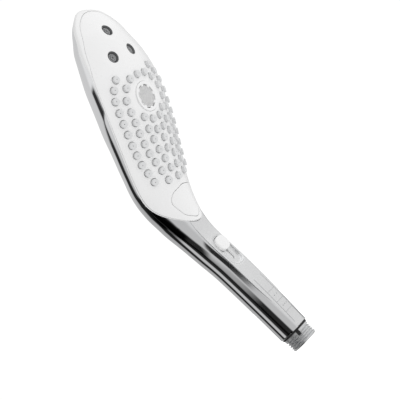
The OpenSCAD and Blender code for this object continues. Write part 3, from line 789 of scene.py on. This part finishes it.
# ---- Soft nozzles ----
parts = []
for u, v in NUBS:
    p, along, across, normal = front_frame(*face_point(u, v))
    profile = [(NUB_BORE, -1.0), (NUB_BORE, NUB_H - 0.1), (NUB_BORE + 0.05, NUB_H - 0.03),
               (1.2, NUB_H - 0.02), (NUB_R - 0.3, NUB_H), (NUB_R - 0.13, NUB_H - 0.04),
               (NUB_R - 0.03, NUB_H - 0.14),
               (NUB_R, NUB_H - 0.3), (NUB_R, 0.0), (NUB_R + 0.02, -2.1), (NUB_BORE, -2.1)]
    parts.append(turned(profile + [profile[0]], p, normal, across, 28))
verts, faces = joined(parts)
add_mesh("soft_nozzles", verts, faces, silicone, "handset", "silicone", "nozzle_nubs")

# ---- Massage jets ----
for n, (u, v) in enumerate(JETS, 1):
    s, x = face_point(u, v)
    p, along, across, normal = front_frame(s, x)
    p = p - normal * JET_SINK * MM
    wall = JET_R - 0.2
    sleeve = rounded([(2.7, -5.1), (2.95, -4.9), (3.1, -1.7), (wall - 0.55, -0.5), (wall - 0.3, -0.12),
                      (wall, -0.2), (wall, -5.1), (2.7, -5.1)], 0.15)
    add_mesh("jet_sleeve_ring_%d" % n, *joined([turned(sleeve, p, normal, across, 48)]), jet_dark, "handset",
             "jet_plastic", "jet_sleeve_%d" % n)
    core = rounded([(0.0, -3.85), (3.05, -3.85), (3.05, -1.9), (2.75, -1.35), (2.3, -1.35), (2.15, -2.3),
                    (1.75, -2.3), (1.6, -1.15), (1.15, -1.15), (1.0, -2.6), (0.0, -2.6)], 0.1)
    add_mesh("jet_core_cone_%d" % n, *joined([turned(core, p, normal, across, 48)]), jet_grey, "handset",
             "jet_plastic", "jet_core_%d" % n)

# ---- Centre spray ----
p, along, across, normal = front_frame(*face_point(0, 0))
RING_IN = SCREEN_R + 0.55
MESH_R = SCREEN_R - 0.35
ring_profile = rounded([(RING_IN, -2.9), (RING_IN, -0.2), (RING_IN + 0.4, 0.0), (CENTRE_R - 0.25, 0.02),
                        (CENTRE_R, -0.2), (CENTRE_R, -2.9), (RING_IN, -2.9)], 0.15)
parts = [turned(ring_profile, p, normal, across, 96)]
TABS = 8
for k in range(TABS):
    a0 = 2 * math.pi * k / TABS
    vs = []
    for j in range(7):
        a = a0 + (j - 3) / 3 * math.radians(8)
        d = across * math.cos(a) + across.cross(normal) * -math.sin(a)
        for r, h in ((RING_IN + 0.1, -1.3), (MESH_R - 0.1, -1.3), (MESH_R - 0.25, -1.1),
                     (MESH_R - 0.25, -0.42), (MESH_R - 0.05, -0.28), (RING_IN + 0.1, -0.22)):
            vs.append(p + d * r * MM + normal * h * MM)
    fs = grid_faces(7, 6, wrap_cols=True)
    fs += [tuple(range(5, -1, -1)), tuple(range(36, 42))]
    parts.append((vs, fs))
add_mesh("centre_ring_white", *joined(parts), white_plastic, "handset", "white_plastic", "centre_nozzle_ring")

# woven screen: two families of waved wires, in a rim, over a light backing disc
wires = []
PITCH, WIRE_R = 0.8, 0.2
for family in (0, 1):
    e1, e2 = (along, across) if family == 0 else (across, along)
    count = int(MESH_R / PITCH)
    for i in range(-count, count + 1):
        off = i * PITCH
        half = math.sqrt(max(MESH_R ** 2 - off ** 2, 0.04))
        n = max(int(2 * half / 0.2), 4)
        vs = []
        for j in range(n + 1):
            t = -half + 2 * half * j / n
            wave = math.sin(math.pi * (t / PITCH + 0.5)) * (1 if (i + family) % 2 else -1) * WIRE_R * 0.9
            c = p + e1 * t * MM + e2 * off * MM + normal * (-0.95 + wave) * MM
            for k in range(5):
                a = 2 * math.pi * k / 5
                vs.append(c + (e2 * math.cos(a) + normal * math.sin(a)) * WIRE_R * MM)
        fs = grid_faces(n + 1, 5, wrap_cols=True) + [tuple(range(4, -1, -1)), tuple(range(n * 5, n * 5 + 5))]
        wires.append((vs, fs))
backing = [(0.0, -1.75), (MESH_R, -1.75), (MESH_R, -1.4), (0.0, -1.4)]
wires.append(turned(backing, p, normal, across, 64))
mesh_rim = rounded([(MESH_R - 0.3, -1.5), (MESH_R - 0.3, -0.75), (MESH_R + 0.05, -0.75),
                    (MESH_R + 0.05, -1.5), (MESH_R - 0.3, -1.5)], 0.08)
wires.append(turned(mesh_rim, p, normal, across, 96))
add_mesh("centre_screen_woven", *joined(wires), mesh_metal, "handset", "mesh_metal", "centre_nozzle_screen")


# ---- Buttons with domed tops ----
def domed(name, outline, top, axis, edge, wall, material, body, slot_name, nodes, rings=9):
    """Cap over an outline of (s, x): rings shrink to the middle, the edge is rounded, the skirt goes down."""
    n = len(outline)
    cs = sum(q[0] for q in outline) / n
    cx = sum(q[1] for q in outline) / n
    rows = []
    rows.append([top(s, x) - axis * wall * MM for s, x in loop_inset(outline, 0.6)])
    rows.append([top(s, x) - axis * wall * MM for s, x in outline])
    for k in range(5):
        a = math.pi / 2 * k / 4
        rows.append([top(s, x) - axis * edge * (1 - math.sin(a)) * MM
                     for s, x in loop_inset(outline, edge * (1 - math.cos(a)))])
    inner = loop_inset(outline, edge)
    for k in range(1, rings):
        u = 1 - k / rings
        rows.append([top(cs + (s - cs) * u, cx + (x - cx) * u) for s, x in inner])
    verts = [v for row in rows for v in row]
    faces = grid_faces(len(rows), n, wrap_cols=True)
    verts.append(top(cs, cx))
    last = (len(rows) - 1) * n
    faces += [(last + i, last + (i + 1) % n, len(verts) - 1) for i in range(n)]
    low = sum(rows[0], Vector()) / n
    verts.append(low)
    faces += [((i + 1) % n, i, len(verts) - 1) for i in range(n)]
    return add_mesh(name, verts, faces, material, body, slot_name, *nodes)


def button_top(s, x):
    return place(s, x, front(s, x) + BUTTON_PROUD)


domed("mode_button_cap", ccw(button_loop(0.0)), button_top, button_axis, BUTTON_EDGE, BUTTON_WALL,
      white_plastic, "mode_button", "white_plastic", ("mode_button",))

# the button's return spring
SPRING_LOW, SPRING_HIGH, SPRING_R, WIRE, COILS = 1.5, 6.0, 4.1, 0.35, 4
spring_steps, spring_sides = COILS * 32, 10
side_way = Vector((1, 0, 0))
third_way = button_axis.cross(side_way)
verts = []
for i in range(spring_steps + 1):
    a = 2 * math.pi * COILS * i / spring_steps
    h = SPRING_LOW + WIRE + 0.05 + (SPRING_HIGH - SPRING_LOW - 2 * WIRE - 0.1) * i / spring_steps
    for j in range(spring_sides):
        b = 2 * math.pi * j / spring_sides
        out_way = side_way * math.cos(a) + third_way * math.sin(a)
        verts.append(place(BUTTON_S, 0, 0) + (out_way * (SPRING_R + WIRE * math.cos(b))
                                              + button_axis * (h + WIRE * math.sin(b))) * MM)
faces = grid_faces(spring_steps + 1, spring_sides, wrap_cols=True)
faces += [tuple(range(spring_sides - 1, -1, -1)), tuple(range(len(verts) - spring_sides, len(verts)))]
spring = add_mesh("return_spring_coil", verts, faces, spring_steel, "handset", "spring_steel",
                  "mode_button_spring", sharp=60)
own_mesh(spring)

# ---- Flow slider ----
KNOB_Z, KNOB_HALF, TRAVEL = 78.6, 6.0, 12.5
KNOB_TOP, KNOB_DOME, KNOB_ROUND, KNOB_EDGE, KNOB_WALL = 12.55, 76, 4.6, 0.9, 2.7
RECESS_GAP = 0.4
TRAY_FLOOR, TRAY_HALF = 8.9, 6.4


def superround(half_s, half_x, r, n_arc=9):
    out = []
    for qs, qx, a0 in ((1, 1, 0), (-1, 1, 90), (-1, -1, 180), (1, -1, 270)):
        for k in range(n_arc + 1):
            a = math.radians(a0 + 90 * k / n_arc)
            out.append(((half_s - r) * qs + r * math.cos(a), (half_x - r) * qx + r * math.sin(a)))
    return out


knob_outline = resample([(KNOB_Z + a, b) for a, b in superround(KNOB_HALF, KNOB_HALF, KNOB_ROUND)], 0.6)


def knob_top(s, x):
    return place(s, x, KNOB_TOP - ((s - KNOB_Z) ** 2 + x * x) / KNOB_DOME)


front_axis = Vector((0, -1, 0))
domed("slider_knob_cap", ccw(knob_outline), knob_top, front_axis, KNOB_EDGE, KNOB_WALL, white_plastic,
      "flow_slider", "white_plastic", ("slider_knob",))

slot_low = KNOB_Z - KNOB_HALF - TRAVEL - RECESS_GAP
slot_high = KNOB_Z + KNOB_HALF + RECESS_GAP


def stadium(grow):
    mid, half = (slot_low + slot_high) / 2, (slot_high - slot_low) / 2
    r = 5.6 + grow * 0.9
    return [(mid + a, b) for a, b in superround(half + grow, TRAY_HALF + grow, min(r, TRAY_HALF + grow), 14)]


def strip_top(s, x):
    return place(s, x, curve(FRONT_T, s) - STRIP_DROP - STRIP_CROWN * (x / strip_half(s)) ** 2)


def strip_normal(s, x):
    d = 0.05
    a = strip_top(s + d, x) - strip_top(s - d, x)
    b = strip_top(s, x + d) - strip_top(s, x - d)
    return b.cross(a).normalized()


def even_stadium(grow, n):
    loop = resample(stadium(grow), 0.05)
    return [loop[int(len(loop) * k / n)] for k in range(n)]


# the recess as one turned section: lip, wall, floor up to the slot, and back underneath
N_ST = 128
SLOT_EDGE = -4.85
rows = []
for grow, h in ((0.72, -0.35), (0.7, -0.08), (0.5, 0.04), (0.22, 0.0), (0.06, -0.14), (0.0, -0.4)):
    rows.append([strip_top(s, x) + front_axis * h * MM for s, x in even_stadium(grow, N_ST)])
for grow, h in ((-0.08, 0.35), (-0.3, 0.1), (-0.75, 0.0), (-1.6, 0.0), (-2.6, 0.0), (-3.6, 0.0),
                (SLOT_EDGE + 0.2, 0.0), (SLOT_EDGE, -0.15), (SLOT_EDGE, -0.9), (-2.0, -0.9), (0.5, -0.9)):
    rows.append([place(s, x, TRAY_FLOOR + h) for s, x in even_stadium(grow, N_ST)])
verts = [v for row in rows for v in row]
faces = [tuple(reversed(g)) for g in grid_faces(len(rows), N_ST, wrap_rows=True, wrap_cols=True)]
add_mesh("slider_recess", verts, faces, inlay_satin, "handset", "inlay_satin", "slider_tray")

# ---- Handle strip ----
def strip_outline(step):
    gap = 0.28
    a = [(0.25, -strip_half(0.25) + 0.4), (0.25, strip_half(0.25) - 0.4)]
    right_side = [(s, strip_half(s)) for s in even(0.7, 106.0, 100)]
    top_end = []
    for k in range(41):
        x = 8.45 - 8.45 * 2 * k / 40
        s = TONGUE_START
        while white_w(s) < abs(x) and s < 110:
            s += 0.02
        top_end.append((s - gap, x))
    left_side = [(s, -x) for s, x in reversed(right_side)]
    loop = a[1:] + right_side + top_end + left_side + a[:1]
    return ccw(resample(loop, step))


stadium_hole = (ccw(resample(stadium(0.8), 1.0)), None)
plate("handle_strip", strip_outline(1.0), [stadium_hole], strip_top, strip_normal, 1.3, 0.18, 1.2,
              inlay_satin, "handset", "inlay_satin", ("handle_inlay",))


def ribbon(points, half, up, down):
    """Fine raised line over the strip through points of (s, x)."""
    vs = []
    for i, (s, x) in enumerate(points):
        s2, x2 = points[min(i + 1, len(points) - 1)]
        s1, x1 = points[max(i - 1, 0)]
        way = (strip_top(s2, x2) - strip_top(s1, x1)).normalized()
        n = strip_normal(s, x)
        side = way.cross(n).normalized()
        c = strip_top(s, x)
        vs += [c + (side * a * half + n * b) * MM for a, b in ((-1, -down), (-1, up), (1, up), (1, -down))]
    fs = grid_faces(len(points), 4, wrap_cols=True)
    return vs, fs + [(3, 2, 1, 0), tuple(range(len(vs) - 4, len(vs)))]


# generic panel lines and index dots at the lower end of the strip
MARK_X = 4.9
marks = [ribbon([(s, k * MARK_X) for s in even(4.0, 44.0, 40)], 0.13, 0.05, 0.15) for k in (-1, 1)]
for s in (13.0, 22.0, 31.0):
    marks.append(ribbon([(s, x) for x in even(-MARK_X, MARK_X, 12)], 0.11, 0.05, 0.15))
for s, x in ((17.5, -2.4), (17.5, 0.0), (17.5, 2.4), (26.5, -1.6), (26.5, 1.6)):
    n = strip_normal(s, x)
    dot = [(0.0, -0.15), (0.42, -0.15), (0.42, 0.04), (0.36, 0.06), (0.0, 0.06)]
    marks.append(turned(dot, strip_top(s, x), n, Vector((1, 0, 0)), 16))
add_mesh("inlay_marks", *joined(marks), mark_paint, "handset", "inlay_satin", "handle_inlay")

# ---- Hose end ----
THREAD_R = 10.48
THREAD_DEPTH = 1.16
PITCH_MM = 1.814
THREAD_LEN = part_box("end_seal")[0][2] / MM
up_axis, x_axis = Vector((0, 0, 1)), Vector((1, 0, 0))
seg = 144
heights = [0.0] + even(0.0, THREAD_LEN, 110)
verts = []
for i, z in enumerate(heights):
    for j in range(seg):
        a = 2 * math.pi * j / seg
        r = THREAD_R
        phase = (z / PITCH_MM - a / (2 * math.pi)) % 1.0
        tooth = clamp((abs(phase - 0.5) * 2 - 0.12) / 0.55)
        fade = smooth(0.9, 2.0, z) * (1 - smooth(THREAD_LEN - 1.9, THREAD_LEN - 1.2, z))
        r -= THREAD_DEPTH * (1 - tooth) * fade
        r -= max(1.2 - z, 0) * 0.9
        for mid in (math.radians(45), math.radians(225)):
            off = (a - mid + math.pi) % (2 * math.pi) - math.pi
            if abs(off) * THREAD_R < 1.0 and z > THREAD_LEN - 4:
                r = THREAD_R - 1.5
        if i == 0:
            r = 7.1
        verts.append(Vector((r * math.cos(a), r * math.sin(a), z)) * MM)
for r, z in ((9.0, THREAD_LEN), (9.0, 12.0), (7.0, 12.0), (7.0, 0.3)):
    verts += [Vector((r * math.cos(2 * math.pi * j / seg), r * math.sin(2 * math.pi * j / seg), z)) * MM
              for j in range(seg)]
faces = grid_faces(len(heights) + 4, seg, wrap_rows=True, wrap_cols=True)
add_mesh("thread_end", verts, faces, thread_metal, "handset", "thread_metal", "hose_nipple", sharp=30)

seal_profile = rounded([(9.02, THREAD_LEN + 0.02), (11.0, THREAD_LEN + 0.02), (11.0, TAIL - 0.02),
                        (9.02, TAIL - 0.02), (9.02, THREAD_LEN + 0.02)], 0.3)
seal_and_shade_key_parts = [turned(seal_profile, Vector(), up_axis, x_axis, 72)]
# black rubber keys in the thread's two notches are painted shade: dark pieces set where the notches only hold
# shadow
for mid in (math.radians(45), math.radians(225)):
    out_way = Vector((math.cos(mid), math.sin(mid), 0))
    side_way = up_axis.cross(out_way)
    key = []
    for z, trim in ((THREAD_LEN - 3.7, 0.35), (THREAD_LEN - 3.45, 0.0), (THREAD_LEN + 0.06, 0.0)):
        key += [out_way * (THREAD_R - r) * MM + side_way * w * MM + up_axis * z * MM
                for r, w in ((1.42, -0.75 + trim), (0.25 + trim, -0.75 + trim), (0.1 + trim, -0.5 + trim),
                             (0.1 + trim, 0.5 - trim), (0.25 + trim, 0.75 - trim), (1.42, 0.75 - trim))]
    shade_key_faces = grid_faces(3, 6, wrap_cols=True) + [tuple(range(5, -1, -1)), tuple(range(12, 18))]
    seal_and_shade_key_parts.append((key, shade_key_faces))
add_mesh("end_seal_ring", *joined(seal_and_shade_key_parts), rubber, "handset",
         "seal_rubber", "end_seal")

# ---- CAD nodes that stay get their finishes ----
for name, obj in NODES.items():
    if obj.type != "MESH":
        continue
    for i, m in enumerate(obj.data.materials):
        key = m.name.split(".")[0] if m else ""
        if key in SLOT_MATERIAL:
            finish = white_plastic if name == "slider_carriage" else SLOT_MATERIAL[key]
            obj.material_slots[i].material = finish

# ---- Floor and light ----
floor_mat = finish_of("floor_white", (0.9, 0.9, 0.9), 0.6, tint=0.004, tint_scale=4, rough_to=0.7,
                      bump_scale=300, bump_by=0.02, Emission_Color=(1, 1, 1, 1), Emission_Strength=0.8)
mesh = bpy.data.meshes.new("floor")
R_FLOOR = 6.0
corners = [(a * R_FLOOR, b * R_FLOOR, 0) for a, b in ((-1, -1), (1, -1), (1, 1), (-1, 1))]
mesh.from_pydata(corners, [], [(0, 1, 2, 3)])
mesh.materials.append(floor_mat)
floor = bpy.data.objects.new("floor", mesh)
bpy.context.scene.collection.objects.link(floor)
floor.visible_glossy = False
floor.visible_diffuse = False

# The studio: a white surround, and black flags that only polished surfaces mirror. A flag is
# (from, to azimuth, from, to elevation, softness), in degrees round the object.
FLAGS = (
    (105, 126, -90, 18, 3.5),
    (124, 142, 16, 31, 4.0),
    (166, 209, -90, 1.0, 5.0),
    (148, 178, -90, 9, 5.0),
    (217, 243, 1.5, 14, 3.0),
    (98, 204, -90, -12, 9.0),
)
FLAG_DEPTH = 0.96
world = bpy.data.worlds.new("studio")
bpy.context.scene.world = world
world.use_nodes = True
tree = world.node_tree
tree.nodes.clear()


def math_node(kind, a, b=None):
    node = tree.nodes.new("ShaderNodeMath")
    node.operation = kind
    for socket, value in zip(node.inputs, (a, b)):
        if isinstance(value, (int, float)):
            socket.default_value = value
        elif value is not None:
            tree.links.new(value, socket)
    return node.outputs["Value"]


def step_up(value, edge, soft, lo=0.0, hi=1.0):
    node = tree.nodes.new("ShaderNodeMapRange")
    node.interpolation_type = "SMOOTHSTEP"
    node.inputs["From Min"].default_value = edge - soft
    node.inputs["From Max"].default_value = edge + soft
    node.inputs["To Min"].default_value = lo
    node.inputs["To Max"].default_value = hi
    tree.links.new(value, node.inputs["Value"])
    return node.outputs["Result"]


direction = tree.nodes.new("ShaderNodeSeparateXYZ")
tree.links.new(tree.nodes.new("ShaderNodeTexCoord").outputs["Generated"], direction.inputs["Vector"])
DEGREES = 180 / math.pi
turned_x = math_node("MULTIPLY", direction.outputs["X"], -1)
turned_y = math_node("MULTIPLY", direction.outputs["Y"], -1)
azimuth = math_node("ADD", math_node("MULTIPLY", math_node("ARCTAN2", turned_y, turned_x), DEGREES), 180)
elevation = math_node("MULTIPLY", math_node("ARCSINE", direction.outputs["Z"]), DEGREES)
mirrored = math_node("MULTIPLY", step_up(elevation, 12, 14, 0.44, 0.66), step_up(azimuth, 126, 8, 1.0, 1.25))
mirrored = math_node("MULTIPLY", mirrored, step_up(azimuth, 249, 8, 1.0, 1.3))
for az_lo, az_hi, el_lo, el_hi, soft in FLAGS:
    inside = math_node("MULTIPLY", step_up(azimuth, az_lo, soft), step_up(azimuth, az_hi, soft, 1.0, 0.0))
    inside = math_node("MULTIPLY", inside, step_up(elevation, el_hi, soft * 0.6, 1.0, 0.0))
    if el_lo > -90:
        inside = math_node("MULTIPLY", inside, step_up(elevation, el_lo, soft * 0.4))
    kept = math_node("SUBTRACT", 1.0, math_node("MULTIPLY", inside, FLAG_DEPTH))
    mirrored = math_node("MULTIPLY", mirrored, kept)

path = tree.nodes.new("ShaderNodeLightPath")
strength = tree.nodes.new("ShaderNodeMix")
strength.data_type = "FLOAT"
lit = math_node("ADD", math_node("MULTIPLY", direction.outputs["Z"], -0.12), 0.87)
lit = math_node("ADD", lit, math_node("MULTIPLY", direction.outputs["Y"], -0.2))
tree.links.new(lit, strength.inputs["A"])
tree.links.new(path.outputs["Is Glossy Ray"], strength.inputs["Factor"])
tree.links.new(mirrored, strength.inputs["B"])
seen = tree.nodes.new("ShaderNodeMix")
seen.data_type = "FLOAT"
seen.inputs["B"].default_value = 1.05
tree.links.new(path.outputs["Is Camera Ray"], seen.inputs["Factor"])
tree.links.new(strength.outputs["Result"], seen.inputs["A"])
surround = tree.nodes.new("ShaderNodeBackground")
surround.inputs["Color"].default_value = (1, 1, 1, 1)
tree.links.new(seen.outputs["Result"], surround.inputs["Strength"])
out = tree.nodes.new("ShaderNodeOutputWorld")
tree.links.new(surround.outputs["Background"], out.inputs["Surface"])


def area_light(name, position, target, size, power):
    data = bpy.data.lights.new(name, "AREA")
    data.shape = "DISK"
    data.size = size
    data.energy = power
    obj = bpy.data.objects.new(name, data)
    bpy.context.scene.collection.objects.link(obj)
    obj.location = position
    obj.rotation_euler = (Vector(target) - Vector(position)).to_track_quat("-Z", "Y").to_euler()
    obj.visible_glossy = False
    return obj


MIDDLE = Vector((0, -0.03, 0.14))
area_light("key", (0.8, -0.6, 0.6), MIDDLE, 0.45, 1.5)
scene = bpy.context.scene
scene.view_settings.view_transform = "Standard"
